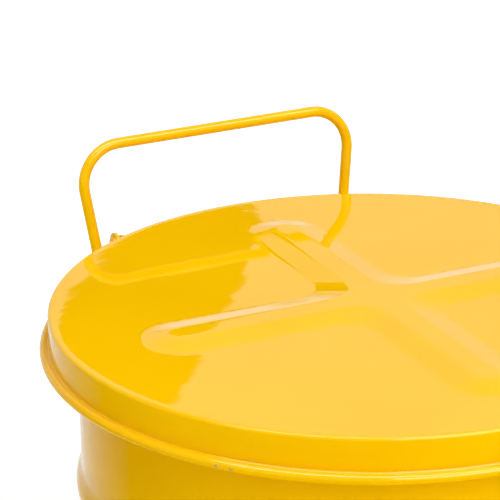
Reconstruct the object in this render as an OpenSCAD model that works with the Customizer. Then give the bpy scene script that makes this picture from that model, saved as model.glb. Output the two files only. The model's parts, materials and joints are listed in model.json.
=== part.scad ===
// Self-closing safety disposal can: a round sheet-steel can whose lid is opened with a foot pedal.
// Millimetres. The origin is on the floor, on the can's axis. +Y points to the hinge at the back,
// and -Y to the pedal at the front.

/* [Can] */
// Outer radius of the body's wall
body_r = 157; // [155:0.5:158]
// Height of the lid's flat top above the floor
lid_top = 461; // [430:1:480]
// Thickness of the sheet in the lid, the body and the base
sheet = 0.9; // [0.7:0.1:1.0]
// How far the body's ribs stand proud of its wall
rib_proud = 3; // [2:0.5:3.5]

/* [Lid] */
// Outer radius of the lid's skirt
lid_r = 172; // [171:0.5:173]
// Height that the stamped cross stands above the lid's flat top
cross_h = 3; // [2:0.5:4]
// Distance from the lid's centre to the tips of the cross
cross_reach = 136; // [110:1:146]
// How far the lid opens, in degrees
lid_angle = 60; // [50:1:60]

/* [Carrying handle] */
// Diameter of the handle's wire
wire_d = 6.35; // [5:0.05:7]
// Height of the handle's bar above the lid's flat top
bar_h = 42.8; // [38:0.2:58]
// Half of the handle's width where it passes the lid's flat top
handle_half = 84.3; // [82:0.1:90]

/* [Pedal] */
// Width of the foot plate
pedal_w = 70; // [50:1:90]
// Height of the pedal's strap above the floor, under the foot plate
pedal_z = 40; // [37:0.5:42]
// Width of the lever's strap
strap_w = 30; // [24:1:32]

/* [Hidden] */
$fn = 96;

paint = [0.98, 0.76, 0.03];
zinc = [0.74, 0.75, 0.73];
black = [0.10, 0.10, 0.11];

gap = 0.3;        // between pieces that move past each other
seat = 0.05;      // between curved sheets that are spot-welded together
run_fit = 0.05;   // radial clearance of a turning pin
push_fit = 0.02;  // radial clearance of a fixed pin
past = 1;         // how far a cut runs past the material

// Lid
shoulder_r = 1.9;
bead_r = 2.6;
bead_at = lid_r + 2.4;
bead_z = lid_top - 20.5;
cross_foot = 21;              // half-width of an arm at its foot
cross_flank = 14;             // width of an arm's sloping side
cross_root = 0.5;             // how far the relief runs down into the panel
cross_hub_r = 37;             // foot radius of the boss where the arms meet
cross_tip_r = cross_foot;     // an arm ends in a half cone of its own width
cross_at = [4.5, -2.5];       // the stamping sits a little off the lid's centre
cross_turn = -1.2;

// Body and base
rim_r = 2.5;
rim_at = body_r + 1.8;
rim_z = lid_top - sheet - gap - rim_r;
body_foot = 34;               // lower edge of the body's wall
seam_r = 2;
seam_at = body_r - 0.2;
seam_z = body_foot + seam_r;
pan_z = 38;                   // underside of the raised bottom
pan_r = body_r - sheet - seat;
ring_r = pan_r - sheet - seat;
foot_r = 2.2;
foot_z = 1.9;                 // low enough that the foot is cut flat on the floor
rib_half = 11;                // half of a rib's height
rib_zs = [lid_top - 98, body_foot + 86];
rib_arc = (pow(rib_half, 2) + pow(rib_proud, 2)) / (2 * rib_proud);
vent_r = 6;
vent_z = 19;
vent_step = 15;
vent_first = 30;              // degrees from the lever's slots to the first vent
slot_z = 5;                   // lower edge of the lever's slots
slot_front_half = 19;
slot_rear_half = 15;

// Hinge
hinge_y = 185;
hinge_z = lid_top - 18;
pin_r = 3;
ear_r = 7;
flange_t = 2;
flange_x = 68;                // inner faces of the rear bracket's flanges
plate_t = 1.5;
washer_t = 1;
washer_r = 5.2;
lid_ear_t = 2;
lid_ear_r = 5;
lid_ear_x = flange_x - washer_t - 0.5 - lid_ear_t;  // inner faces of the lid's own ears
bracket_z0 = rib_zs[0] + rib_half + 2;
bracket_z1 = lid_top - 26.5;
bracket_r = body_r + seat;
flange_y0 = sqrt(pow(bracket_r + flange_t / 2, 2) - pow(flange_x, 2));
flange_neck_y = 167;
flange_back_y = 190;
flange_back_z = lid_top - 40;
flange_tail_z = lid_top - 106;  // the flange runs below the rib, behind it, to carry the handle's leg
flange_tail_y0 = 162;
flange_tail_y1 = 181;
plate_r = lid_r + seat;
plate_z0 = hinge_z + 1.2;     // just above the lid's bead
plate_z1 = hinge_z + 13.4;
lid_ear_y0 = sqrt(pow(plate_r + plate_t / 2, 2) - pow(lid_ear_x + lid_ear_t / 2, 2));
lid_ear_neck_y = 168;
pin_tail = 3.5;               // how far a pin's plain end passes its last plate

// Handle
wire_r = wire_d / 2;
handle_y = 185.6;             // where the handle passes the lid's flat top
handle_lean = 6.1;            // degrees back from upright
corner_r = 23.2;
leg_bend = 83;                // how far below the lid's top a leg turns to lie on its flange
leg_end = 104;
joint_gap = 0.1;
joint_turn = 0.25;            // degrees
joint_proud = 0.03;
leg_x = flange_x + flange_t + wire_r + joint_proud;
splay = atan((handle_half - leg_x) / leg_bend);
corner_w = bar_h - corner_r;
corner_x = handle_half + corner_w * tan(splay) - corner_r / cos(splay);

// Lift rod: its eye is set a quarter turn either side of level, so its rise is almost even
rod_r = 2.5;
lug_reach = 19;
lug_dip = lid_angle / 2;
lug_y = hinge_y - lug_reach * cos(lug_dip);
lug_z = hinge_z - lug_reach * sin(lug_dip);
lug_x = -9;
lug_t = 4;
lug_r = 6;
hook_r = 6;                   // radius of the rod's bend
hook_tail = 5;
hook_end = lug_x - lug_t / 2 - hook_tail;
nut_r = 6;
nut_t = 1.2;
nut_gap = 0.6;

// Lever
rear_arm = 158;
strap_t = 4;
pivot_y = lug_y - rear_arm;
slope_y = 157;                // the strap is straight between -slope_y and slope_y
slope_rear_z = 13;
slope_front_z = 29;
slope = (slope_front_z - slope_rear_z) / (2 * slope_y);
tube_r = 6;
fulcrum_r = 4;
tube_half = 16.4;
cheek_x = 17;
cheek_t = 2;
cheek_r = 7;
head_t = 2;
pivot_z = strap_z(pivot_y) - (strap_t / 2 + tube_r + push_fit) / cos(atan(slope));
strap_end = lug_y + 10;
strap_tip_w = 22;
eye_half = 6;                 // half of the slotted eye's length
eye_r = 3.1;
collar_gap = 1.1;
collar_t = 1.5;
collar_r = 6.5;
rod_foot = 6;
wide_end = 40;                // how far behind the pivot the strap keeps its full width
cheek_reach = 22;
cheek_wing = 12;

// Rod guide
guide_z = 236;
guide_h = 16;
guide_t = 1.5;
guide_half = 6;
guide_foot = 20;
guide_slack = 2.5;

// Foot plate
pedal_t = 2;
pedal_y0 = -232;
pedal_y1 = -186;
strap_front = -224;
ramp_y = -184;
ramp_start = -161;
rivet_r = 2.5;
rivet_head_r = 4.3;
rivet_head_h = 1.8;
tread_ys = [-192, -206, -220];
rivet_ys = [for (i = [0, 1]) (tread_ys[i] + tread_ys[i + 1]) / 2];
tread_r = 2.4;
tread_sink = 1;               // how far a tread's centre lies below the plate's top
tread_margin = 6;
lip_r = 6;
lip_drop = 5;

function around(y, z, r, a) = [y + r * cos(a), z + r * sin(a)];
function on_ear(r, a) = around(hinge_y, hinge_z, r, a);
function strap_z(y) = slope_rear_z + (slope_y - y) * slope;
function joined(a, b) = [for (s = [a, b]) for (p = s) p];
function backwards(a) = [for (i = [len(a) - 1:-1:0]) a[i]];

// A wire ring about the can's axis.
module wire_ring(at, z, r) {
    rotate_extrude() translate([at, z]) circle(r = r);
}

// A round wall about the can's axis.
module wall(r, t, z0, z1) {
    translate([0, 0, z0]) difference() {
        cylinder(r = r + t, h = z1 - z0);
        translate([0, 0, -past]) cylinder(r = r, h = z1 - z0 + 2 * past);
    }
}

// A plate whose outline is drawn in Y and Z, between x0 and x0 + t.
module side_plate(x0, t) {
    translate([x0, 0, 0]) rotate([90, 0, 90]) linear_extrude(t) children();
}

// A round bar or hole along X.
module bar_x(x0, x1, y, z, r) {
    translate([x0, y, z]) rotate([0, 90, 0]) cylinder(r = r, h = x1 - x0);
}

// The room behind the can's axis and within half of x.
module behind(half, z0, z1) {
    translate([-half, 0, z0]) cube([2 * half, 2 * lid_r, z1 - z0]);
}

// ---- Can ----

module body_outline(inset) {
    square([body_r - inset, lid_top]);
    for (z = rib_zs) {
        translate([body_r + rib_proud - rib_arc, z]) circle(r = rib_arc - inset);
    }
}

module can_body() color(paint) {
    rotate_extrude() intersection() {
        difference() {
            body_outline(0);
            body_outline(sheet);
        }
        translate([0, body_foot]) square([2 * body_r, rim_z - body_foot]);
    }
    wire_ring(rim_at, rim_z, rim_r);
    rotate_extrude() difference() {
        translate([seam_at, seam_z]) circle(r = seam_r);
        square([body_r - sheet / 2, lid_top]);
    }
}

module bottom_pan() color(paint) {
    translate([0, 0, pan_z]) cylinder(r = pan_r, h = sheet);
    wall(pan_r - sheet, sheet, body_foot, pan_z + sheet / 2);
}

module lever_slots() {
    translate([-slot_front_half, -2 * body_r, slot_z]) {
        cube([2 * slot_front_half, 2 * body_r, pan_z]);
    }
    translate([-slot_rear_half, 0, slot_z]) cube([2 * slot_rear_half, 2 * body_r, pan_z]);
}

module base_ring() color(paint) difference() {
    union() {
        wall(ring_r - sheet, sheet, foot_z, pan_z);
        wire_ring(ring_r - sheet / 2, foot_z, foot_r);
    }
    translate([0, 0, -lid_top]) cylinder(r = lid_top, h = lid_top);
    lever_slots();
    for (side = [-90, 90]) {
        for (a = [vent_first:vent_step:180 - vent_first]) {
            rotate([0, 0, side + a]) bar_x(ring_r - sheet - past, ring_r + past, 0, vent_z, vent_r);
        }
    }
}

// ---- Hinge at the back ----

module rear_flange() {
    difference() {
        union() {
            polygon([[flange_y0, bracket_z0], [flange_tail_y0, flange_tail_z],
                     [flange_tail_y1, flange_tail_z], [flange_back_y, flange_back_z],
                     on_ear(ear_r, 0), on_ear(ear_r, 140), [flange_neck_y, bracket_z1],
                     [flange_y0, bracket_z1]]);
            translate([hinge_y, hinge_z]) circle(r = ear_r);
        }
        translate([hinge_y, hinge_z]) circle(r = pin_r + push_fit);
    }
}

module rear_bracket() color(paint) {
    intersection() {
        wall(bracket_r, flange_t, bracket_z0, bracket_z1);
        behind(flange_x + flange_t, bracket_z0, bracket_z1);
    }
    for (x0 = [-flange_x - flange_t, flange_x]) {
        side_plate(x0, flange_t) rear_flange();
    }
}

module hinge_pin() color(paint) {
    x1 = flange_x + flange_t;
    bar_x(-x1, x1 + pin_tail, hinge_y, hinge_z, pin_r);
    bar_x(-x1 - head_t, -x1, hinge_y, hinge_z, pin_r + 2);
}

module hinge_pin_nut() color(paint) {
    x1 = flange_x + flange_t;
    difference() {
        bar_x(x1, x1 + nut_t, hinge_y, hinge_z, pin_r + 2.5);
        bar_x(x1 - past, x1 + nut_t + past, hinge_y, hinge_z, pin_r + push_fit);
    }
}

module hinge_washers() color(paint) difference() {
    for (x0 = [-flange_x, flange_x - washer_t]) {
        bar_x(x0, x0 + washer_t, hinge_y, hinge_z, washer_r);
    }
    bar_x(-2 * flange_x, 2 * flange_x, hinge_y, hinge_z, pin_r + run_fit);
}

// ---- Carrying handle ----

// The handle is drawn upright in X and Z, about the line where it passes the lid's top. Its straight
// and curved lengths stop just short of each other inside a ball that is a hair fatter than the wire.
module wire_joint(x, w) {
    translate([x, 0, w]) sphere(r = wire_r + joint_proud);
}

module handle_side() {
    leg_top_x = corner_x + corner_r * cos(splay);
    leg_top_w = corner_w - corner_r * sin(splay);
    leg_run = (leg_top_w + leg_bend) / cos(splay);
    wire_joint(corner_x, bar_h);
    translate([corner_x, 0, corner_w]) rotate([90, 0, 0]) rotate([0, 0, joint_turn - splay]) {
        rotate_extrude(angle = 90 + splay - 2 * joint_turn) {
            translate([corner_r, 0]) circle(r = wire_r);
        }
    }
    wire_joint(leg_top_x, leg_top_w);
    translate([leg_x, 0, -leg_bend]) rotate([0, splay, 0]) {
        translate([0, 0, joint_gap]) cylinder(r = wire_r, h = leg_run - 2 * joint_gap);
    }
    wire_joint(leg_x, -leg_bend);
    translate([leg_x, 0, -leg_end]) cylinder(r = wire_r, h = leg_end - leg_bend - joint_gap);
}

module carry_handle() color(paint) {
    translate([0, handle_y, lid_top]) rotate([-handle_lean, 0, 0]) {
        bar_half = corner_x - joint_gap;
        bar_x(-bar_half, bar_half, 0, bar_h, wire_r);
        handle_side();
        mirror([1, 0, 0]) handle_side();
    }
}

// ---- Lid ----

module lid_outline(inset, foot) {
    r = lid_r - inset;
    top = lid_top - inset;
    c = shoulder_r - inset;
    translate([0, foot]) square([r, top - c - foot]);
    translate([0, foot]) square([r - c, top - foot]);
    translate([r - c, top - c]) circle(r = c);
}

// The stamped cross as a solid relief that stands on z = 0.
module cross_relief() translate(cross_at) rotate(cross_turn) {
    arm = cross_reach - cross_tip_r;
    crest = cross_foot - cross_flank;
    for (a = [0:90:270]) {
        rotate([0, 0, a]) {
            rotate([90, 0, 90]) linear_extrude(arm) {
                polygon([[-cross_foot, -cross_root], [cross_foot, -cross_root], [cross_foot, 0],
                         [crest, cross_h], [-crest, cross_h], [-cross_foot, 0]]);
            }
            translate([arm, 0, 0]) cylinder(r1 = cross_tip_r, r2 = crest, h = cross_h);
            translate([arm, 0, -cross_root]) cylinder(r = cross_tip_r, h = cross_root);
        }
    }
    cylinder(r1 = cross_hub_r, r2 = cross_hub_r - cross_flank, h = cross_h);
    translate([0, 0, -cross_root]) cylinder(r = cross_hub_r, h = cross_root);
}

module lid_shell() color(paint) {
    difference() {
        union() {
            rotate_extrude() difference() {
                lid_outline(0, bead_z);
                lid_outline(sheet, bead_z - past);
            }
            translate([0, 0, lid_top]) cross_relief();
        }
        translate([0, 0, lid_top - sheet]) cross_relief();
    }
    wire_ring(bead_at, bead_z, bead_r);
}

module lid_ear() {
    difference() {
        union() {
            polygon([[lid_ear_y0, plate_z0], [lid_ear_y0, plate_z1], on_ear(lid_ear_r, 80),
                     on_ear(lid_ear_r, 240), [lid_ear_neck_y, plate_z0]]);
            translate([hinge_y, hinge_z]) circle(r = lid_ear_r);
        }
        translate([hinge_y, hinge_z]) circle(r = pin_r + run_fit);
    }
}

module lid_hinge_plate() color(paint) {
    half = lid_ear_x + lid_ear_t;
    intersection() {
        wall(plate_r, plate_t, plate_z0, plate_z1);
        behind(half, hinge_z, lid_top);
    }
    for (x0 = [-half, lid_ear_x]) {
        side_plate(x0, lid_ear_t) lid_ear();
    }
}

// The lug turns on the hinge pin, is welded to the hinge plate and passes below the lid's bead.
module lug_outline() {
    plate_y = plate_r + plate_t + seat;
    difference() {
        union() {
            translate([hinge_y, hinge_z]) circle(r = ear_r);
            translate([lug_y, lug_z]) circle(r = lug_r);
            polygon([around(lug_y, lug_z, lug_r, lug_dip + 90),
                     around(lug_y, lug_z, lug_r, lug_dip - 90), on_ear(ear_r, lug_dip - 90),
                     on_ear(ear_r, 90 - lug_dip), [plate_y, plate_z1], [plate_y, hinge_z]]);
        }
        translate([hinge_y, hinge_z]) circle(r = pin_r + run_fit);
        translate([lug_y, lug_z]) circle(r = rod_r + run_fit);
        translate([bead_at, bead_z]) circle(r = bead_r + gap);
        translate([0, bead_z]) square([plate_y, lid_top]);
    }
}

module lift_lug() color(paint) {
    side_plate(lug_x - lug_t / 2, lug_t) lug_outline();
}

// ---- Lift rod ----

module lift_rod() color(zinc) {
    top = lug_z - hook_r;
    translate([0, lug_y, rod_foot]) cylinder(r = rod_r, h = top - rod_foot);
    translate([-hook_r, lug_y, top]) rotate([90, 0, 0]) {
        rotate_extrude(angle = 90) translate([hook_r, 0]) circle(r = rod_r);
    }
    bar_x(hook_end, -hook_r, lug_y, lug_z, rod_r);
}

module rod_top_nut() color(zinc) {
    x1 = lug_x - lug_t / 2 - nut_gap;
    difference() {
        bar_x(x1 - nut_t, x1, lug_y, lug_z, nut_r - 0.5);
        bar_x(x1 - nut_t - past, x1 + past, lug_y, lug_z, rod_r + push_fit);
    }
}

module rod_collars() color(zinc) {
    z = strap_z(lug_y);
    half = strap_t / 2 + collar_gap;
    for (z0 = [z + half, z - half - collar_t]) {
        translate([0, lug_y, z0]) difference() {
            cylinder(r = collar_r, h = collar_t);
            translate([0, 0, -past]) cylinder(r = rod_r + push_fit, h = collar_t + 2 * past);
        }
    }
}

module rod_guide() color(paint) {
    back = lug_y + rod_r + guide_slack;
    outer = guide_half + guide_t;
    difference() {
        union() {
            intersection() {
                wall(bracket_r, guide_t, guide_z, guide_z + guide_h);
                behind(guide_half + guide_foot, guide_z, guide_z + guide_h);
            }
            translate([-outer, body_r, guide_z]) {
                cube([2 * outer, back + guide_t - body_r, guide_h]);
            }
        }
        translate([0, 0, guide_z - past]) cylinder(r = bracket_r, h = guide_h + 2 * past);
        translate([-guide_half, 0, guide_z - past]) {
            cube([2 * guide_half, back, guide_h + 2 * past]);
        }
    }
}

// ---- Pedal and lever ----

module fulcrum_bracket() color(paint) {
    top = pan_z - seat;
    wide = cheek_x + cheek_t + cheek_wing;
    difference() {
        union() {
            translate([-wide, pivot_y - cheek_reach, top - cheek_t]) {
                cube([2 * wide, 2 * cheek_reach, cheek_t]);
            }
            for (x0 = [-cheek_x - cheek_t, cheek_x]) {
                side_plate(x0, cheek_t) {
                    polygon([[pivot_y - cheek_reach, top], [pivot_y - cheek_r, pivot_z],
                             [pivot_y + cheek_r, pivot_z], [pivot_y + cheek_reach, top]]);
                    translate([pivot_y, pivot_z]) circle(r = cheek_r);
                }
            }
        }
        bar_x(-2 * cheek_x, 2 * cheek_x, pivot_y, pivot_z, fulcrum_r + push_fit);
    }
}

module fulcrum_pin() color(zinc) {
    x1 = cheek_x + cheek_t;
    bar_x(-x1, x1 + pin_tail, pivot_y, pivot_z, fulcrum_r);
    bar_x(-x1 - head_t, -x1, pivot_y, pivot_z, fulcrum_r + 2);
}

module fulcrum_clip() color(zinc) {
    x1 = cheek_x + cheek_t;
    difference() {
        bar_x(x1, x1 + nut_t, pivot_y, pivot_z, fulcrum_r + 2.2);
        bar_x(x1 - past, x1 + nut_t + past, pivot_y, pivot_z, fulcrum_r + push_fit);
    }
}

module strap_profile() {
    line = [[strap_end, strap_z(strap_end)], [ramp_start, strap_z(ramp_start)],
            [ramp_y, pedal_z], [strap_front, pedal_z]];
    up = [for (p = line) [p[0], p[1] + strap_t / 2]];
    down = [for (p = line) [p[0], p[1] - strap_t / 2]];
    polygon(joined(up, backwards(down)));
}

// The strap seen from above: narrower behind the pivot, with a round end and a slotted eye.
module strap_plan() {
    difference() {
        union() {
            translate([-strap_w / 2, strap_front]) {
                square([strap_w, pivot_y + wide_end - strap_front]);
            }
            translate([-strap_tip_w / 2, 0]) square([strap_tip_w, strap_end - strap_tip_w / 2]);
            translate([0, strap_end - strap_tip_w / 2]) circle(r = strap_tip_w / 2);
        }
        translate([-eye_r, lug_y - eye_half + eye_r]) square([2 * eye_r, 2 * (eye_half - eye_r)]);
        for (s = [-1, 1]) translate([0, lug_y + s * (eye_half - eye_r)]) circle(r = eye_r);
        for (y = rivet_ys) translate([0, y]) circle(r = rivet_r + push_fit);
    }
}

module pedal_lever() color(zinc) intersection() {
    side_plate(-strap_w / 2, strap_w) strap_profile();
    linear_extrude(2 * pedal_z) strap_plan();
}

module lever_tube() color(zinc) difference() {
    bar_x(-tube_half, tube_half, pivot_y, pivot_z, tube_r);
    bar_x(-tube_half - past, tube_half + past, pivot_y, pivot_z, fulcrum_r + run_fit);
}

module pedal_plate() color(black) {
    z = pedal_z + strap_t / 2;
    difference() {
        union() {
            side_plate(-pedal_w / 2, pedal_w) {
                translate([pedal_y0 + lip_r, z]) square([pedal_y1 - pedal_y0 - lip_r, pedal_t]);
                intersection() {
                    translate([pedal_y0 + lip_r, z + pedal_t - lip_r]) difference() {
                        circle(r = lip_r);
                        circle(r = lip_r - pedal_t);
                    }
                    translate([pedal_y0, z + pedal_t - lip_r]) square([lip_r, lip_r]);
                }
                translate([pedal_y0, z - lip_drop]) square([pedal_t, lip_drop + pedal_t - lip_r]);
            }
            for (y = tread_ys) {
                intersection() {
                    bar_x(tread_margin - pedal_w / 2, pedal_w / 2 - tread_margin, y,
                          z + pedal_t - tread_sink, tread_r);
                    translate([-pedal_w, y - tread_r, z + pedal_t / 2]) {
                        cube([2 * pedal_w, 2 * tread_r, 2 * tread_r]);
                    }
                }
            }
        }
        for (y = rivet_ys) {
            translate([0, y, 0]) cylinder(r = rivet_r + push_fit, h = lid_top);
        }
    }
}

module pedal_rivets() color(zinc) {
    z0 = pedal_z - strap_t / 2;
    z1 = pedal_z + strap_t / 2 + pedal_t;
    for (y = rivet_ys) {
        translate([0, y, z0 - rivet_head_h]) {
            cylinder(r = rivet_r, h = z1 - z0 + 2 * rivet_head_h);
            cylinder(r = rivet_head_r, h = rivet_head_h);
        }
        translate([0, y, z1]) cylinder(r1 = rivet_head_r, r2 = rivet_r, h = rivet_head_h);
    }
}

can_body();
bottom_pan();
base_ring();
rear_bracket();
carry_handle();
hinge_pin();
hinge_pin_nut();
hinge_washers();
rod_guide();
fulcrum_bracket();
fulcrum_pin();
fulcrum_clip();
lid_shell();
lid_hinge_plate();
lift_lug();
lift_rod();
rod_top_nut();
rod_collars();
pedal_lever();
lever_tube();
pedal_plate();
pedal_rivets();
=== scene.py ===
"""Looks for a self-closing safety disposal can: glossy yellow sheet steel, zinc-plated linkage.

Every length is in metres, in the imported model's own frame: the floor is z = 0, the can's axis is
x = y = 0, the hinge is at +Y and the pedal at -Y.
"""
import json
import math

import bmesh
import bpy
import numpy as np
from mathutils import Matrix, Vector


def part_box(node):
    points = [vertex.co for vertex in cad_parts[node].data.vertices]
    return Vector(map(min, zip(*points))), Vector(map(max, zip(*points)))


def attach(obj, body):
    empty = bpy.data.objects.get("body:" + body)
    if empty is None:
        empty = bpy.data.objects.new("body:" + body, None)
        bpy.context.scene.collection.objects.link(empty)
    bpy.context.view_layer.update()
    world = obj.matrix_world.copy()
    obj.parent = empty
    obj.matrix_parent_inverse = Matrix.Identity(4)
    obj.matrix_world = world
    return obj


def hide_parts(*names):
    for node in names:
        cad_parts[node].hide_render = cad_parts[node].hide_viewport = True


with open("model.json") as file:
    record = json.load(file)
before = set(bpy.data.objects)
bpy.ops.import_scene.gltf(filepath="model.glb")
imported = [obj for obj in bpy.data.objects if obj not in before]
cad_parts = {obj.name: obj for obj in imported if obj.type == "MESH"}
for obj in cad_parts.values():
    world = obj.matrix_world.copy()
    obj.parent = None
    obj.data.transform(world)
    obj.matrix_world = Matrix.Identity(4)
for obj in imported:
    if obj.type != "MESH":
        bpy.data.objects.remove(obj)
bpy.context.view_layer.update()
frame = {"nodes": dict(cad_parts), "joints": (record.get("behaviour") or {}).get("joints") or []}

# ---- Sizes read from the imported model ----

LID_LO, LID_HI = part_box("lid_shell")
CAN_LO, CAN_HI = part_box("can_body")
PAN_LO, PAN_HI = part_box("bottom_pan")
HANDLE_LO, HANDLE_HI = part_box("carry_handle")
BRACKET_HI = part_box("rear_bracket")[1]
JOINT_AT = {joint["name"]: Vector(joint["pos_m"]) for joint in frame["joints"]}
HINGE = JOINT_AT["lid_hinge"]
ROD_TOP = JOINT_AT["rod_pivot"]
FULCRUM = JOINT_AT["pedal_pivot"]

# ---- Sizes of the design ----

SHEET = 0.0009           # thickness of the lid, the body and the bottom
CROSS_H = 0.003
BEAD_R = 0.0026
BEAD_OUT = 0.0024        # the bead's centre stands this far outside the lid's skirt
SHOULDER_R = 0.0019
RIM_R = 0.0025
RIM_OUT = 0.0018
SEAM_R = 0.002
SEAM_IN = 0.0002
ROLL_BLEND = 0.001       # radius of the hollow between a wall and its rolled edge
ROLL_END = math.radians(165)  # how far an open roll is turned, from straight out
RIB_PROUD = 0.003
RIB_HALF = 0.0125
RIB_BELOW_LID = 0.098
RIB_ABOVE_FOOT = 0.086
WIRE_R = 0.003175
LEAN = math.radians(6.1)
CORNER_R = 0.0232
LEG_TAIL = 0.021         # length of the leg that is welded to its flange
LEG_BEND_R = 0.03
ROD_R = 0.0025
HOOK_R = 0.006
GRIP = 0.00002           # gap between a push nut's hole and its pin

LID_TOP = LID_HI.z - CROSS_H
LID_R = LID_HI.x - BEAD_R - BEAD_OUT
BODY_R = CAN_HI.x - RIM_R - RIM_OUT
RIBS = (LID_TOP - RIB_BELOW_LID, CAN_LO.z + RIB_ABOVE_FOOT)

TURN = 2 * math.pi
SHARP = math.radians(38)  # edges that turn by more than this are shaded as sharp


# ---- Mesh helpers ----

def smooth_object(name, mesh):
    """An object in the scene, smooth-shaded apart from its sharp edges."""
    mesh.polygons.foreach_set("use_smooth", [True] * len(mesh.polygons))
    mesh.set_sharp_from_angle(angle=SHARP)
    obj = bpy.data.objects.new(name, mesh)
    bpy.context.scene.collection.objects.link(obj)
    return obj


def new_piece(name, verts, faces):
    """A smooth-shaded object from points and faces, with outward normals."""
    mesh = bpy.data.meshes.new(name)
    mesh.from_pydata([tuple(v) for v in verts], [], faces)
    work = bmesh.new()
    work.from_mesh(mesh)
    bmesh.ops.remove_doubles(work, verts=work.verts, dist=1e-7)
    bmesh.ops.recalc_face_normals(work, faces=work.faces)
    work.to_mesh(mesh)
    work.free()
    return smooth_object(name, mesh)


def arc(cx, cy, r, start, end, steps):
    """Points on a circle from one angle to another, both ends included."""
    angles = np.linspace(start, end, steps + 1)
    return [(cx + r * math.cos(a), cy + r * math.sin(a)) for a in angles]


def rounded(corners, radius, steps=4):
    """An outline of corners (x, y) or (x, y, own radius), each turned into an arc."""
    points = []
    count = len(corners)
    for i, corner in enumerate(corners):
        here = Vector(corner[:2])
        before = Vector(corners[i - 1][:2]) - here
        after = Vector(corners[(i + 1) % count][:2]) - here
        r = corner[2] if len(corner) > 2 else radius
        half = before.angle(after) / 2
        if r == 0 or half > math.radians(89):
            points.append(tuple(here))
            continue
        cut = min(r / math.tan(half), 0.49 * before.length, 0.49 * after.length)
        r = cut * math.tan(half)
        inward = (before.normalized() + after.normalized()).normalized()
        middle = here + inward * r / math.sin(half)
        first = here + before.normalized() * cut - middle
        last = here + after.normalized() * cut - middle
        a0 = math.atan2(first.y, first.x)
        swing = (math.atan2(last.y, last.x) - a0 + math.pi) % TURN - math.pi
        points += arc(middle.x, middle.y, r, a0, a0 + swing, steps)
    return points


def even_turn(count):
    """The angles that divide a full turn into so many steps."""
    return [TURN * i / count for i in range(count)]


def revolve(name, profile, place=None, angles=None, wobble=None):
    """A closed profile of (radius, height) turned about Z, then put in place.

    wobble(angle, radius, height) returns what to add to a point's radius.
    """
    angles = angles or even_turn(48)
    place = place or Matrix.Identity(4)
    verts = []
    for a in angles:
        for r, h in profile:
            if wobble:
                r = r + wobble(a, r, h)
            verts.append(place @ Vector((r * math.cos(a), r * math.sin(a), h)))
    n, m = len(profile), len(angles)
    faces = []
    for i in range(m):
        for j in range(n):
            a, b = i * n, (i + 1) % m * n
            faces.append((a + j, b + j, b + (j + 1) % n, a + (j + 1) % n))
    obj = new_piece(name, verts, faces)
    drop_slivers(obj.data)
    return obj


def drop_slivers(mesh):
    """Removes faces that have collapsed to a line, as at a profile's axis."""
    work = bmesh.new()
    work.from_mesh(mesh)
    bmesh.ops.dissolve_degenerate(work, dist=1e-7, edges=work.edges)
    work.to_mesh(mesh)
    work.free()


def put(obj, place):
    """The object, with its mesh moved to a place."""
    obj.data.transform(place)
    return obj


def along_x(x, y, z):
    """The place of a turned piece whose axis runs along +X from a point."""
    return Matrix.Translation((x, y, z)) @ Matrix.Rotation(math.pi / 2, 4, "Y")


def tube(name, path, radii, sides):
    """A round bar along a path, with its own radius at each point and flat ends."""
    path = [Vector(p) for p in path]
    count = len(path)
    steps = [(path[i + 1] - path[i]).normalized() for i in range(count - 1)]
    tangents = [steps[0]] + [(a + b).normalized() for a, b in zip(steps, steps[1:])] + [steps[-1]]
    side = tangents[0].orthogonal().normalized()
    verts = []
    for i, t in enumerate(tangents):
        side = (side - t * side.dot(t)).normalized()
        up = t.cross(side)
        for a in even_turn(sides):
            verts.append(path[i] + radii[i] * (side * math.cos(a) + up * math.sin(a)))
    faces = [tuple(range(sides))]
    for i in range(count - 1):
        for k in range(sides):
            a, b = i * sides + k, i * sides + (k + 1) % sides
            faces.append((a, b, b + sides, a + sides))
    faces.append(tuple(range((count - 1) * sides, count * sides)))
    return new_piece(name, verts, faces)


def cut_ends(path, radius, chamfer):
    """The path and radii of a bar whose two cut ends have a small chamfer."""
    path = [Vector(p) for p in path]
    head = path[0] + (path[1] - path[0]).normalized() * chamfer
    tail = path[-1] + (path[-2] - path[-1]).normalized() * chamfer
    full = [path[0], head] + path[1:-1] + [tail, path[-1]]
    radii = [radius - chamfer] + [radius] * (len(full) - 2) + [radius - chamfer]
    return full, radii


def softened(node, round_r, steps=3):
    """A copy of a CAD node's mesh with the rounded edges of pressed and painted metal."""
    mesh = frame["nodes"][node].data.copy()
    mesh.name = node + "_soft"
    work = bmesh.new()
    work.from_mesh(mesh)
    bmesh.ops.remove_doubles(work, verts=work.verts, dist=1e-6)
    bmesh.ops.dissolve_limit(work, angle_limit=math.radians(0.6), verts=work.verts,
                             edges=work.edges)
    edges = [e for e in work.edges if len(e.link_faces) == 2]
    sharp = [e for e in edges if e.calc_face_angle() > math.radians(32)]
    bmesh.ops.bevel(work, geom=sharp, offset=round_r, segments=steps, profile=0.5,
                    affect="EDGES", clamp_overlap=True)
    bmesh.ops.recalc_face_normals(work, faces=work.faces)
    work.to_mesh(mesh)
    work.free()
    return smooth_object(node + "_soft", mesh)


def joined(name, objects):
    """Several meshes as one object."""
    work = bmesh.new()
    for obj in objects:
        work.from_mesh(obj.data)
        bpy.data.objects.remove(obj)
    mesh = bpy.data.meshes.new(name)
    work.to_mesh(mesh)
    work.free()
    return smooth_object(name, mesh)


def finish_piece(obj, body, material, *nodes):
    """Gives a piece its material, its body and the CAD nodes that it stands for."""
    obj.data.materials.clear()
    obj.data.materials.append(MATERIALS[material])
    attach(obj, body)
    if nodes:
        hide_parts(*nodes)


# ---- Materials ----

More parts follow.
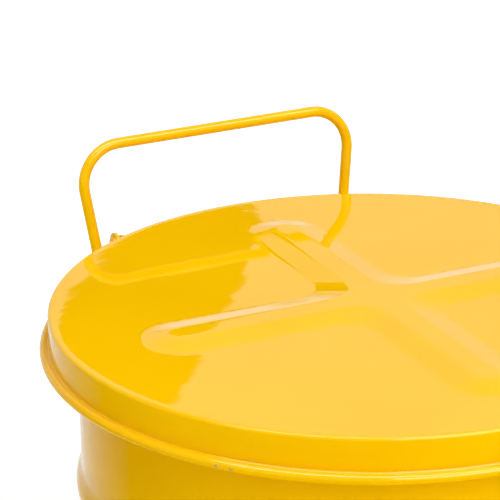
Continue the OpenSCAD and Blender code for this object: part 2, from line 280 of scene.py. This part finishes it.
class Nodes:
    """A node tree with short-cuts for the nodes that the materials and the room share."""

    def __init__(self, tree):
        self.tree = tree

    def node(self, kind, inputs=None, **values):
        """A new node, each of whose inputs is linked to a socket or set to a value."""
        node = self.tree.nodes.new(kind)
        for name, value in values.items():
            setattr(node, name, value)
        for name, source in (inputs or {}).items():
            if isinstance(source, bpy.types.NodeSocket):
                self.tree.links.new(source, node.inputs[name])
            else:
                node.inputs[name].default_value = source
        return node

    def ramp(self, value, low, high, to_low=0.0, to_high=1.0):
        """value taken from low...high to to_low...to_high, and held at the ends."""
        made = self.node("ShaderNodeMapRange", {"Value": value, "From Min": low, "From Max": high,
                                                "To Min": to_low, "To Max": to_high})
        return made.outputs["Result"]

    def times(self, a, b):
        return self.node("ShaderNodeMath", {0: a, 1: b}, operation="MULTIPLY").outputs[0]

    def sum(self, a, b):
        return self.node("ShaderNodeMath", {0: a, 1: b}, operation="ADD").outputs[0]


class Shader(Nodes):
    """A Principled material with a few short-cuts for its procedural nodes."""

    def __init__(self, name):
        self.material = bpy.data.materials.new(name)
        self.material.use_nodes = True
        super().__init__(self.material.node_tree)
        self.surface = self.tree.nodes["Principled BSDF"]
        self.place = self.tree.nodes.new("ShaderNodeTexCoord").outputs["Object"]

    def set(self, **values):
        """Sets the shader's own sockets; an underscore stands for a space in a socket's name."""
        for name, value in values.items():
            self.surface.inputs[name.replace("_", " ")].default_value = value

    def link(self, output, name):
        self.tree.links.new(output, self.surface.inputs[name])

    def noise(self, scale, detail=2.0, rough=0.5):
        """Noise of so many cells a metre."""
        made = self.node("ShaderNodeTexNoise", {"Vector": self.place, "Scale": scale,
                                                "Detail": detail, "Roughness": rough})
        return made.outputs["Fac"]

    def mix(self, share, a, b):
        """Colour a where share is 0 and b where it is 1."""
        made = self.node("ShaderNodeMix", {0: share, 6: a, 7: b}, data_type="RGBA")
        return made.outputs[2]

    def bump(self, height, distance, strength, under=None):
        """Bumps this many metres high, on top of another bump where one is given."""
        inputs = {"Height": height, "Distance": distance, "Strength": strength}
        if under:
            inputs["Normal"] = under
        return self.node("ShaderNodeBump", inputs).outputs["Normal"]

    def convex(self, low, high):
        """0 on flat faces, rising to 1 on outer edges."""
        edge = self.node("ShaderNodeNewGeometry").outputs["Pointiness"]
        return self.ramp(edge, low, high)


def knock(angle, r, z, size):
    """The place of a knock in the lid's paint, at an angle in degrees, and the chip's radius."""
    return (r * math.cos(math.radians(angle)), r * math.sin(math.radians(angle)), z), size


BEAD_SIDE = (LID_R + BEAD_OUT + 0.9 * BEAD_R, LID_LO.z + 0.7 * BEAD_R)
SHOULDER_SIDE = (LID_R - 0.3 * SHOULDER_R, LID_TOP - 0.3 * SHOULDER_R)
KNOCKS = (knock(217.0, *BEAD_SIDE, 0.0013), knock(217.5, *BEAD_SIDE, 0.0010),
          knock(219.3, *BEAD_SIDE, 0.0011), knock(46.6, *SHOULDER_SIDE, 0.0012))


def yellow_enamel():
    """Baked golden-yellow gloss enamel: orange peel, chips on edges, and the lid's knocks."""
    s = Shader("yellow_enamel")
    s.set(Metallic=0.0, IOR=1.5)
    deep = (0.93, 0.510, 0.0002, 1.0)
    light = (0.97, 0.543, 0.0006, 1.0)
    paint = s.mix(s.ramp(s.noise(9, 3), 0.35, 0.65), deep, light)
    chip_field = s.ramp(s.noise(240, 3, 0.6), 0.66, 0.70)
    chips = s.times(s.times(s.convex(0.535, 0.56), chip_field), s.ramp(s.noise(21), 0.56, 0.60))
    ragged = s.ramp(s.noise(500, 2), 0.3, 0.7, -0.0009, 0.0009)
    for spot, size in KNOCKS:
        away = s.node("ShaderNodeVectorMath", {0: s.place, 1: spot}, operation="DISTANCE")
        edge = s.sum(away.outputs["Value"], ragged)
        chips = s.sum(chips, s.ramp(edge, 0.6 * size, size, 1.0, 0.0))
    chips = s.ramp(chips, 0, 1)
    s.link(s.mix(chips, paint, (0.60, 0.41, 0.11, 1.0)), "Base Color")
    s.link(s.ramp(s.noise(90, 5, 0.6), 0.3, 0.7, 0.012, 0.045), "Roughness")
    peel = s.bump(s.noise(420, 1), 0.00003, 0.3)
    wave = s.bump(s.noise(30, 2), 0.0004, 0.35, peel)
    s.link(s.bump(chips, -0.0001, 0.6, wave), "Normal")
    return s.material


def zinc_plate():
    """Bright zinc plate: cloudy, with dull spots, warm patches and a fine grain."""
    s = Shader("zinc_plate")
    s.set(Metallic=1.0, IOR=1.5)
    bright = (0.74, 0.755, 0.76, 1.0)
    dull = (0.50, 0.515, 0.53, 1.0)
    clouds = s.ramp(s.noise(160, 4, 0.6), 0.32, 0.68)
    spots = s.ramp(s.noise(900, 2), 0.60, 0.72)
    warm = s.mix(s.ramp(s.noise(45, 2), 0.5, 0.75), bright, (0.76, 0.71, 0.60, 1.0))
    s.link(s.mix(s.ramp(spots, 0, 1, 0, 0.5), s.mix(clouds, warm, dull), dull), "Base Color")
    s.link(s.ramp(clouds, 0, 1, 0.24, 0.42), "Roughness")
    s.link(s.bump(s.noise(1300, 2, 0.6), 0.00002, 0.3), "Normal")
    return s.material


def black_enamel():
    """Textured black enamel, dusty in places and rubbed to grey on its edges."""
    s = Shader("black_enamel")
    s.set(Metallic=0.0, IOR=1.5, Coat_Weight=0.25, Coat_Roughness=0.2)
    black = (0.012, 0.012, 0.014, 1.0)
    dusty = (0.035, 0.034, 0.033, 1.0)
    bare = (0.33, 0.33, 0.33, 1.0)
    paint = s.mix(s.ramp(s.noise(60, 4), 0.4, 0.7), black, dusty)
    rubbed = s.times(s.convex(0.52, 0.56), s.ramp(s.noise(190, 4, 0.65), 0.50, 0.64))
    s.link(s.mix(s.ramp(rubbed, 0, 1, 0, 0.8), paint, bare), "Base Color")
    s.link(s.ramp(s.noise(80, 4), 0.3, 0.7, 0.34, 0.52), "Roughness")
    s.link(s.bump(s.noise(1500, 2), 0.00004, 0.5), "Normal")
    return s.material


MATERIALS = {"yellow_enamel": yellow_enamel(), "zinc_plate": zinc_plate(),
             "black_enamel": black_enamel()}


# ---- Lid ----

LID_TURN = 400           # points round each ring of the lid
PRESSED_R = 0.142        # the cross ends at about this radius
PRESSED_RINGS = 121
FLAT_RINGS = 8
UNDER_RINGS = 58
SKIRT_TOP = 0.006        # the skirt's flat starts this far below its shoulder
CROSS_AT = (0.0045, -0.0025)
CROSS_TURN = math.radians(-1.2)
CROSS_ARM = 0.115        # from the cross's centre to the centre of an arm's round tip
CROSS_FOOT = 0.0220      # half an arm's width where its flanks meet the panel
CROSS_FLANK = 0.0165     # width of a flank, from the panel to the crest
CROSS_ROUND = 0.14       # share of the flank that rounds into the panel, and again into the crest
CROSS_BLEND = 0.021      # how softly two arms run into each other


def eased(t):
    """0 to 1 along a straight slope whose two ends are rounded."""
    t = np.clip(t, 0, 1)
    low, high = t, 1 - t
    start = low ** 2 / (2 * CROSS_ROUND)
    stop = (1 - CROSS_ROUND) - high ** 2 / (2 * CROSS_ROUND)
    middle = low - CROSS_ROUND / 2
    rise = np.where(low < CROSS_ROUND, start, np.where(high < CROSS_ROUND, stop, middle))
    return rise / (1 - CROSS_ROUND)


def cross_height(x, y):
    """Height of the stamped cross above the lid's flat top."""
    x, y = x - CROSS_AT[0], y - CROSS_AT[1]
    cos, sin = math.cos(CROSS_TURN), math.sin(CROSS_TURN)
    x, y = x * cos + y * sin, y * cos - x * sin
    along_x_arm = np.hypot(np.maximum(np.abs(x) - CROSS_ARM, 0), y)
    along_y_arm = np.hypot(np.maximum(np.abs(y) - CROSS_ARM, 0), x)
    near = np.maximum(CROSS_BLEND - np.abs(along_x_arm - along_y_arm), 0)
    away = np.minimum(along_x_arm, along_y_arm) - near ** 2 / (4 * CROSS_BLEND)
    return CROSS_H * eased((CROSS_FOOT - away) / CROSS_FLANK)


def rolled_edge(wall_r, at, z, r, side, end):
    """Profile from a wall's outer face round a roll of radius r, centred at (at, z).

    side is 1 where the wall is above the roll and -1 where it is below. The roll is turned to the
    angle end, from straight out.
    """
    reach = wall_r + ROLL_BLEND - at
    rise = math.sqrt((ROLL_BLEND + r) ** 2 - reach ** 2)
    lean = math.atan2(rise, reach)
    points = arc(wall_r + ROLL_BLEND, rise, ROLL_BLEND, math.pi, math.pi + lean, 6)
    points += arc(at, 0, r, lean, -end, 26)
    return [(x, z + side * y) for x, y in points]


def lid_profile():
    """Outer edge of the lid from its flat top round the shoulder, skirt and bead to its inside."""
    turn_r, turn_z = LID_R - SHOULDER_R, LID_TOP - SHOULDER_R
    inside_r = LID_R - SHEET
    shoulder = arc(turn_r, turn_z, SHOULDER_R, math.pi / 2, 0, 10)
    skirt = [(LID_R, turn_z - SKIRT_TOP)]
    bead = rolled_edge(LID_R, LID_R + BEAD_OUT, LID_LO.z + BEAD_R, BEAD_R, 1, ROLL_END)
    inside = [(inside_r, LID_LO.z + 1.3 * BEAD_R), (inside_r, turn_z - SKIRT_TOP)]
    inside += arc(turn_r, turn_z, SHOULDER_R - SHEET, 0, math.pi / 2, 6)
    return shoulder + skirt + bead + inside


def lid_shell():
    """The pressed lid as one closed mesh: a polar grid over and under, and a turned edge."""
    flat_r = LID_R - SHOULDER_R
    top_rings = [*np.linspace(0, PRESSED_R, PRESSED_RINGS + 1)[1:],
                 *np.linspace(PRESSED_R, flat_r, FLAT_RINGS + 2)[1:-1]]
    under_rings = np.linspace(flat_r, 0, UNDER_RINGS + 2)[1:-1]
    rings = [(r, LID_TOP, True) for r in top_rings]
    rings += [(r, z, False) for r, z in lid_profile()]
    rings += [(r, LID_TOP - SHEET, True) for r in under_rings]
    angles = np.array(even_turn(LID_TURN))
    verts = [(0, 0, LID_TOP + CROSS_H)]
    for r, z, pressed in rings:
        x, y = r * np.cos(angles), r * np.sin(angles)
        height = z + (cross_height(x, y) if pressed else np.zeros(LID_TURN))
        verts += list(zip(x, y, height))
    verts.append((0, 0, LID_TOP + CROSS_H - SHEET))
    last = len(verts) - 1
    faces = []
    for k in range(LID_TURN):
        after = (k + 1) % LID_TURN
        faces.append((0, 1 + k, 1 + after))
        for i in range(len(rings) - 1):
            a, b = 1 + i * LID_TURN, 1 + (i + 1) * LID_TURN
            faces.append((a + k, b + k, b + after, a + after))
        end = 1 + (len(rings) - 1) * LID_TURN
        faces.append((end + k, last, end + after))
    finish_piece(new_piece("lid", verts, faces), "lid", "yellow_enamel", "lid_shell")


# ---- Can ----

CAN_TURN = 256           # points round the wall
WALL_STEP = 0.0012       # distance between the points up a rib
WALL_GAP = 0.001         # between the end of a straight wall and its roll
WELD_SEAM_AT = math.radians(48)
WELD_SEAM_HALF = 0.004
WELD_SEAM_PROUD = 0.0005


def wall_points(inset, z0, z1):
    """A wall with two swaged ribs, as (radius, height): its two ends, and points up each rib."""
    points = []
    for z in np.linspace(z0, z1, round((z1 - z0) / WALL_STEP)):
        proud = 0.0
        for rib in RIBS:
            t = min(abs(z - rib) / RIB_HALF, 1)
            proud += RIB_PROUD * (0.5 + 0.5 * math.cos(math.pi * t))
        if z in (z0, z1) or rib_near(z):
            points.append((BODY_R - inset + proud, z))
    return points


def rib_near(z):
    return any(abs(z - rib) < RIB_HALF + 0.002 for rib in RIBS)


def weld_seam(angle, r, h):
    """The lengthwise weld stands a little proud of the outside of the wall."""
    away = abs(angle - WELD_SEAM_AT) * BODY_R / WELD_SEAM_HALF
    if away >= 1 or r < BODY_R - SHEET / 2 or h > CAN_HI.z - 3 * RIM_R:
        return 0.0
    return WELD_SEAM_PROUD * (1 - away ** 2) ** 2


def can_body():
    """The wall, its rolled rim, its ribs and the seam at its foot, as one turned piece."""
    rim_z = CAN_HI.z - RIM_R
    seam_z = CAN_LO.z + SEAM_R
    seam = rolled_edge(BODY_R, BODY_R - SEAM_IN, seam_z, SEAM_R, 1, math.pi / 2)
    rim = rolled_edge(BODY_R, BODY_R + RIM_OUT, rim_z, RIM_R, -1, ROLL_END)
    outside = wall_points(0, seam[0][1] + WALL_GAP, rim[0][1] - WALL_GAP)
    inside = wall_points(SHEET, CAN_LO.z, rim_z - WALL_GAP)
    profile = seam[::-1] + outside + rim + inside[::-1]
    half = WELD_SEAM_HALF / BODY_R
    fine = list(np.linspace(WELD_SEAM_AT - half, WELD_SEAM_AT + half, 13))
    angles = [a for a in even_turn(CAN_TURN) if abs(a - WELD_SEAM_AT) > half] + fine
    made = revolve("can_wall", profile, angles=sorted(angles), wobble=weld_seam)
    finish_piece(made, "can", "yellow_enamel", "can_body")


def bottom_pan():
    """The raised bottom, a flat sheet whose edge is turned down inside the wall."""
    r = PAN_HI.x
    corners = [(0, PAN_HI.z, 0), (r, PAN_HI.z, 0.0035), (r, PAN_LO.z, 0.0002),
               (r - SHEET, PAN_LO.z, 0.0002), (r - SHEET, PAN_HI.z - SHEET, 0.0026),
               (0, PAN_HI.z - SHEET, 0)]
    made = revolve("bottom", rounded(corners, 0.001, 6), angles=even_turn(192))
    finish_piece(made, "can", "yellow_enamel", "bottom_pan")


def base_ring():
    finish_piece(softened("base_ring", 0.00025, 2), "can", "yellow_enamel", "base_ring")


# ---- Hinge, bracket and handle at the back ----

HINGE_PIN_R = 0.003
HINGE_HEAD_R = 0.005
HINGE_NUT_R = 0.0055
WASHER_R = 0.0052
WASHER_T = 0.001
HEAD_T = 0.002           # thickness of a pin's head
CLEARANCE = 0.00005      # between a pin and the washer or bush on it
BRACKET_FACE = 0.00205   # the bracket's outer face stands this far outside the wall
STRAP_FACE = 0.00155     # the same for the hinge plate on the skirt and the guide on the wall
WELD_R = 0.0012
WELD_SPAN = (0.001, 0.018)  # where a weld bead starts and ends, from the end of the leg
WELD_APART = 0.86        # how far out a bead lies, in radii of the wire
RIPPLE = 0.0016          # length of one ripple of a weld bead
SPOT_R = 0.0028
SPOT_PROUD = 0.0003
ROW_ABOVE_RIB = 0.021    # heights of the rows of spot welds
ROW_BELOW_HINGE = 0.017
ROW_BELOW_LID = 0.0105


def handle_path():
    """The handle's centreline from the end of one leg to the end of the other."""
    bar = Vector((0, HANDLE_HI.y - WIRE_R, HANDLE_HI.z - WIRE_R))
    up = Vector((0, math.sin(LEAN), math.cos(LEAN)))
    end_z = HANDLE_LO.z + WIRE_R * math.sin(LEAN)
    leg_end = -(bar.z - end_z) / math.cos(LEAN)
    leg_x = BRACKET_HI.x + WIRE_R
    bend = Vector((leg_x, leg_end + LEG_TAIL))
    centre = Vector((HANDLE_HI.x - WIRE_R - CORNER_R, -CORNER_R))
    reach = bend - centre
    touch = math.atan2(reach.y, reach.x) + math.acos(CORNER_R / reach.length)
    side = arc(centre.x, centre.y, CORNER_R, math.pi / 2, touch, 18)
    turned = rounded([side[-1], (bend.x, bend.y, LEG_BEND_R), (leg_x, leg_end)], 0.0, 6)
    side += turned[1:]
    flat = side[::-1] + [(-x, w) for x, w in side]
    return [bar + Vector((x, 0, 0)) + up * w for x, w in flat[::-1]]


def carry_handle():
    path, radii = cut_ends(handle_path(), WIRE_R, chamfer=0.0005)
    made = tube("handle_wire", path, radii, sides=28)
    finish_piece(made, "can", "yellow_enamel", "carry_handle")


def weld_bead(start, end):
    """A slim bar whose thickness ripples along its length."""
    length = (end - start).length
    count = round(length / RIPPLE * 6)
    points, radii = [], []
    for i in range(count + 1):
        s = i / count
        points.append(start.lerp(end, s))
        tip = math.sin(math.pi * min(max(s, 0.02), 0.98)) ** 0.35
        ripple = 1 + 0.16 * math.sin(TURN * s * length / RIPPLE)
        radii.append(WELD_R * tip * ripple)
    return tube("bead", points, radii, sides=10)


def handle_welds():
    """Two beads beside each leg, where it lies on its flange."""
    path = handle_path()
    beads = []
    for a, b in ((path[0], path[1]), (path[-1], path[-2])):
        run = (b - a).normalized()
        side = 1 if a.x > 0 else -1
        across = Vector((0, run.z, -run.y))
        foot = Vector((side * BRACKET_HI.x, 0, 0)) - Vector((a.x, 0, 0))
        for way in (-1, 1):
            line = a + (foot + across * way * WIRE_R * WELD_APART)
            beads.append(weld_bead(line + run * WELD_SPAN[0], line + run * WELD_SPAN[1]))
    finish_piece(joined("handle_welds", beads), "can", "yellow_enamel")


def spot_weld(centre, outward):
    """A spot weld's mark: a low ring round a shallow dent, sunk a little into its plate."""
    turn = outward.to_track_quat("Z", "Y").to_matrix().to_4x4()
    shape = [(0, 0.1), (0.45, 0.25), (0.7, 1), (0.85, 0.8), (1, 0), (1, -1), (0, -1)]
    profile = [(r * SPOT_R, h * SPOT_PROUD) for r, h in shape]
    return revolve("spot", profile, Matrix.Translation(centre) @ turn, even_turn(20))


def spot_row(r, z, degrees):
    """Spot welds on a round wall, at angles in degrees from straight back."""
    marks = []
    for a in map(math.radians, degrees):
        out = Vector((math.sin(a), math.cos(a), 0))
        marks.append(spot_weld(out * r + Vector((0, 0, z)), out))
    return marks


def rear_bracket():
    finish_piece(softened("rear_bracket", 0.0005), "can", "yellow_enamel", "rear_bracket")
    marks = []
    for z in (RIBS[0] + ROW_ABOVE_RIB, HINGE.z - ROW_BELOW_HINGE):
        marks += spot_row(BODY_R + BRACKET_FACE, z, (-17, -6, 6, 17))
    finish_piece(joined("bracket_spot_welds", marks), "can", "yellow_enamel")


def turned_pin(name, box, axis, r, head_r):
    """A pin along X through a joint, with a domed head at its low end and a chamfered tail."""
    lo, hi = box
    length = hi.x - lo.x
    chamfer = 0.0006
    corners = [(0, 0, 0), (head_r * 0.55, 0, 0.001), (head_r, HEAD_T * 0.45, 0.0007),
               (head_r, HEAD_T, 0.0002), (r, HEAD_T, 0.0003), (r, length - chamfer, 0.0001),
               (r - chamfer, length, 0.0001), (0, length, 0)]
    made = revolve(name, rounded(corners, 0.0003, 3), along_x(lo.x, 0, 0), even_turn(40))
    return put(made, Matrix.Translation((0, axis.y, axis.z)))


def turned_ring(name, inner, outer, length, edge_r, place):
    """A washer or a bush with rounded edges."""
    corners = [(inner, 0), (outer, 0), (outer, length), (inner, length)]
    return revolve(name, rounded(corners, edge_r, 3), place)


def push_nut(name, inner, outer, t):
    """A sprung push nut: a dished ring whose rim is notched into tongues."""
    corners = [(inner, 0.30 * t, 0.0001), (outer * 0.70, 0.10 * t, 0.0004), (outer, 0, 0.0002),
               (outer, 0.55 * t, 0.0002), (outer * 0.72, 0.70 * t, 0.0004), (inner, t, 0.0001)]

    def notch(angle, r, _):
        if r > 0.8 * outer:
            return -0.10 * outer * max(0.0, math.cos(6 * angle)) ** 6
        return 0.0
    return revolve(name, rounded(corners, 0.0002, 3), angles=even_turn(96), wobble=notch)


def hinge_hardware():
    """The painted hinge pin, its push nut and its two washers."""
    pin = turned_pin("hinge_pin_turned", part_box("hinge_pin"), HINGE, HINGE_PIN_R, HINGE_HEAD_R)
    finish_piece(pin, "can", "yellow_enamel", "hinge_pin")
    lo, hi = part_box("hinge_pin_nut")
    nut = push_nut("hinge_push_nut", HINGE_PIN_R + GRIP, HINGE_NUT_R, hi.x - lo.x)
    put(nut, along_x(lo.x, HINGE.y, HINGE.z))
    finish_piece(nut, "can", "yellow_enamel", "hinge_pin_nut")
    lo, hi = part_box("hinge_washers")
    rings = []
    for x in (lo.x, hi.x - WASHER_T):
        place = along_x(x, HINGE.y, HINGE.z)
        inner = HINGE_PIN_R + CLEARANCE
        rings.append(turned_ring("washer", inner, WASHER_R, WASHER_T, 0.00025, place))
    finish_piece(joined("hinge_washers_turned", rings), "can", "yellow_enamel", "hinge_washers")


def lid_hinge_plate():
    made = softened("lid_hinge_plate", 0.0004)
    finish_piece(made, "lid", "yellow_enamel", "lid_hinge_plate")
    marks = spot_row(LID_R + STRAP_FACE, LID_TOP - ROW_BELOW_LID, (-17, -9, 9, 17))
    finish_piece(joined("hinge_plate_spot_welds", marks), "lid", "yellow_enamel")


def lift_lug():
    finish_piece(softened("lift_lug", 0.0006), "lid", "yellow_enamel", "lift_lug")


# ---- Lift rod ----

COLLAR_T = 0.0015


def lift_rod():
    """The upright rod, whose hooked top turns in the lift lug, and the push nut on the hook."""
    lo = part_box("lift_rod")[0]
    y = ROD_TOP.y
    bend_z = ROD_TOP.z - HOOK_R
    path = [(0, y, z) for z in np.linspace(lo.z, bend_z, 12)]
    hook = arc(-HOOK_R, bend_z, HOOK_R, 0, math.pi / 2, 10)
    path += [(x, y, z) for x, z in hook[1:]]
    path.append((lo.x, y, ROD_TOP.z))
    path, radii = cut_ends(path, ROD_R, chamfer=0.0004)
    finish_piece(tube("rod_wire", path, radii, sides=24), "rod", "zinc_plate", "lift_rod")
    lo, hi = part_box("rod_top_nut")
    nut = push_nut("rod_push_nut", ROD_R + GRIP, (hi.y - lo.y) / 2, hi.x - lo.x)
    finish_piece(put(nut, along_x(lo.x, y, ROD_TOP.z)), "rod", "zinc_plate", "rod_top_nut")


def rod_collars():
    """Two push nuts on the rod, below and above the lever's eye."""
    lo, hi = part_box("rod_collars")
    rings = []
    for z in (lo.z, hi.z - COLLAR_T):
        ring = push_nut("collar", ROD_R + GRIP, (hi.x - lo.x) / 2, COLLAR_T)
        rings.append(put(ring, Matrix.Translation((0, ROD_TOP.y, z))))
    finish_piece(joined("rod_push_collars", rings), "rod", "zinc_plate", "rod_collars")


def rod_guide():
    finish_piece(softened("rod_guide", 0.0004), "can", "yellow_enamel", "rod_guide")
    z = sum(c.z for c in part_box("rod_guide")) / 2
    marks = spot_row(BODY_R + STRAP_FACE, z, (-6.4, 6.4))
    finish_piece(joined("guide_spot_welds", marks), "can", "yellow_enamel")


# ---- Pedal ----

FULCRUM_PIN_R = 0.004
FULCRUM_HEAD_R = 0.006
BUSH_R = 0.006
RIVET_HEAD_H = 0.0018
RIVET_SHANK_R = 0.0025


def fulcrum():
    """The bracket under the bottom, the pin that the lever turns on, and the pin's push nut."""
    finish_piece(softened("fulcrum_bracket", 0.0005), "can", "yellow_enamel", "fulcrum_bracket")
    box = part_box("fulcrum_pin")
    pin = turned_pin("fulcrum_pin_turned", box, FULCRUM, FULCRUM_PIN_R, FULCRUM_HEAD_R)
    finish_piece(pin, "can", "zinc_plate", "fulcrum_pin")
    lo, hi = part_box("fulcrum_clip")
    clip = push_nut("fulcrum_push_nut", FULCRUM_PIN_R + GRIP, (hi.y - lo.y) / 2, hi.x - lo.x)
    put(clip, along_x(lo.x, FULCRUM.y, FULCRUM.z))
    finish_piece(clip, "can", "zinc_plate", "fulcrum_clip")


def lever():
    """The strap from the pedal to the rod, and the bush under it."""
    finish_piece(softened("pedal_lever", 0.0006), "pedal", "zinc_plate", "pedal_lever")
    lo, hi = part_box("lever_tube")
    made = turned_ring("lever_bush", FULCRUM_PIN_R + CLEARANCE, BUSH_R, hi.x - lo.x, 0.0003,
                       along_x(lo.x, FULCRUM.y, FULCRUM.z))
    finish_piece(made, "pedal", "zinc_plate", "lever_tube")


def foot_plate():
    """The foot plate, and its two rivets with a low head below and a domed one above."""
    finish_piece(softened("pedal_plate", 0.0005), "pedal", "black_enamel", "pedal_plate")
    lo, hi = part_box("pedal_rivets")
    head_r = (hi.x - lo.x) / 2
    top = hi.z - lo.z - RIVET_HEAD_H
    profile = [(0, 0), (head_r * 0.6, 0.0001), (head_r * 0.9, RIVET_HEAD_H * 0.45),
               (head_r, RIVET_HEAD_H), (RIVET_SHANK_R, RIVET_HEAD_H), (RIVET_SHANK_R, top),
               (head_r, top)]
    dome = [(head_r * math.cos(a), top + RIVET_HEAD_H * math.sin(a))
            for a in np.linspace(0.15, math.pi / 2, 8)]
    rivets = []
    for y in (lo.y + head_r, hi.y - head_r):
        rivets.append(revolve("rivet", profile + dome, Matrix.Translation((0, y, lo.z))))
    finish_piece(joined("pedal_rivets_domed", rivets), "pedal", "zinc_plate", "pedal_rivets")


# ---- Studio ----

CAMERA_TURN = math.radians(25.8)    # how far right of +Y the photographer looks
CAMERA_PITCH = math.radians(20.94)
CAMERA_ROLL = -0.0118
CAMERA_STAND = Vector((-3.4018, -6.1880, 2.8709))   # from the lid's middle, in lid radii
FLOOR_HALF = 30.0
WALL_R, WALL_H, WALL_SIDES = 29.0, 40.0, 64
CARD_AHEAD = 1.0
AHEAD = Vector((math.sin(CAMERA_TURN), math.cos(CAMERA_TURN), 0))
ACROSS = Vector((math.cos(CAMERA_TURN), -math.sin(CAMERA_TURN), 0))


def from_lid(across, ahead, up):
    """A point given from the middle of the lid's top, in the photographer's directions."""
    return ACROSS * across + AHEAD * ahead + Vector((0, 0, LID_TOP + up))


def studio_floor():
    """A plain pale floor, far wider than any view, that glows slightly away from the can."""
    verts = [(x * FLOOR_HALF, y * FLOOR_HALF, 0) for x, y in ((-1, -1), (1, -1), (1, 1), (-1, 1))]
    floor = new_piece("floor", verts, [(0, 1, 2, 3)])
    s = Shader("floor_white")
    s.set(Base_Color=(0.88, 0.88, 0.88, 1), Roughness=0.9, Emission_Color=(1, 1, 1, 1))
    away = s.node("ShaderNodeVectorMath", {0: s.place}, operation="LENGTH").outputs["Value"]
    s.link(s.ramp(away, 0.2, 1.1, 0.0, 0.6), "Emission Strength")
    floor.data.materials.append(s.material)
    floor.visible_glossy = False


def backdrop():
    """A pale wall far away on every side, seen by the camera only."""
    n = WALL_SIDES
    verts = [(WALL_R * math.cos(a), WALL_R * math.sin(a), z)
             for z in (0, WALL_H) for a in even_turn(n)]
    faces = [(i, (i + 1) % n, n + (i + 1) % n, n + i) for i in range(n)]
    wall = new_piece("backdrop", verts, faces)
    s = Shader("backdrop_pale")
    s.set(Base_Color=(0, 0, 0, 1), Roughness=1.0, Specular_IOR_Level=0.0,
          Emission_Color=(1, 1, 1, 1), Emission_Strength=0.9)
    wall.data.materials.append(s.material)
    wall.visible_diffuse = wall.visible_glossy = wall.visible_shadow = False


def area_light(name, at, toward, size, radiance):
    """A white soft box; its long side runs across the photographer's view."""
    light = bpy.data.lights.new(name, "AREA")
    light.shape = "RECTANGLE"
    light.size, light.size_y = size
    light.energy = radiance * math.pi * size[0] * size[1]
    obj = bpy.data.objects.new(name, light)
    back = (at - toward).normalized()
    up = back.cross(ACROSS).normalized()
    axes = Matrix((up.cross(back), up, back)).transposed().to_4x4()
    obj.matrix_world = Matrix.Translation(at) @ axes
    bpy.context.scene.collection.objects.link(obj)


def surroundings():
    """A pale room: bright low behind the can, greyer overhead, dim in front and black low there."""
    world = bpy.data.worlds.new("studio")
    bpy.context.scene.world = world
    world.use_nodes = True
    room = Nodes(world.node_tree)
    way = room.node("ShaderNodeTexCoord").outputs["Generated"]
    up = room.node("ShaderNodeSeparateXYZ", {0: way}).outputs["Z"]
    dot = room.node("ShaderNodeVectorMath", {0: way, 1: AHEAD}, operation="DOT_PRODUCT")
    behind = dot.outputs["Value"]
    low_part = room.ramp(behind, 0.3, 0.85, 0.0, 0.9)
    lit = room.ramp(behind, 0.45, 0.68, 0.25, 1.0)
    sky = room.node("ShaderNodeValToRGB", {0: up})
    stops = sky.color_ramp.elements
    stops[0].color = (1.0, 1.0, 1.0, 1.0)
    stops[1].color = (0.42, 0.42, 0.42, 1.0)
    for place, tone in ((0.16, 0.70), (0.45, 0.66)):
        stops.new(place).color = (tone, tone, tone, 1.0)
    high_part = room.times(sky.outputs["Color"], lit)
    above = room.ramp(up, -0.05, 0.0)
    glow = room.node("ShaderNodeMix", {0: above, 2: low_part, 3: high_part}).outputs[0]
    background = room.tree.nodes["Background"].inputs
    room.tree.links.new(glow, background["Strength"])
    background["Color"].default_value = (1.0, 1.0, 1.0, 1.0)


def lighting():
    """The pale room, a long soft box overhead and a softer one in front."""
    surroundings()
    area_light("overhead", from_lid(0.35, -0.45, 2.3), from_lid(0.35, 0, 0), (3.8, 0.8), 6.1)
    area_light("front", from_lid(1.3, -2.6, 1.9), from_lid(0, 0, 0), (2.2, 1.6), 4.6)
    bpy.context.scene.view_settings.view_transform = "Standard"


def dark_card():
    """A dark card standing behind the can, seen only as a reflection in glossy paint."""
    corners = [(-0.048, 0.305), (-0.072, 0.39), (-0.112, 0.465), (-0.152, 0.54), (-0.27, 0.465),
               (-0.240, 0.395), (-0.18, 0.33), (-0.16, 0.305)]
    verts = [from_lid(across, CARD_AHEAD, up) for across, up in rounded(corners, 0.016)]
    card = new_piece("dark_card", verts, [tuple(range(len(verts)))])
    s = Shader("card_black")
    s.set(Base_Color=(0, 0, 0, 1), Roughness=1.0, Specular_IOR_Level=0.0)
    card.data.materials.append(s.material)
    card.visible_camera = card.visible_diffuse = card.visible_shadow = False


def camera():
    """Stands left of the can and above it, and looks down at the lid."""
    forward = AHEAD * math.cos(CAMERA_PITCH) - Vector((0, 0, math.sin(CAMERA_PITCH)))
    down = forward.cross(ACROSS)
    cos, sin = math.cos(CAMERA_ROLL), math.sin(CAMERA_ROLL)
    right_rolled = cos * ACROSS - sin * down
    down_rolled = sin * ACROSS + cos * down
    lens_data = bpy.data.cameras.new("camera")
    lens_data.sensor_width = 36
    lens_data.lens = 176.0
    obj = bpy.data.objects.new("camera", lens_data)
    axes = Matrix((right_rolled, -down_rolled, -forward)).transposed().to_4x4()
    stand = CAMERA_STAND * LID_R + Vector((0, 0, LID_TOP))
    obj.matrix_world = Matrix.Translation(stand) @ axes
    bpy.context.scene.collection.objects.link(obj)
    bpy.context.scene.camera = obj


lid_shell()
can_body()
bottom_pan()
base_ring()
rear_bracket()
carry_handle()
handle_welds()
hinge_hardware()
lid_hinge_plate()
lift_lug()
lift_rod()
rod_collars()
rod_guide()
fulcrum()
lever()
foot_plate()
studio_floor()
backdrop()
dark_card()
lighting()
camera()
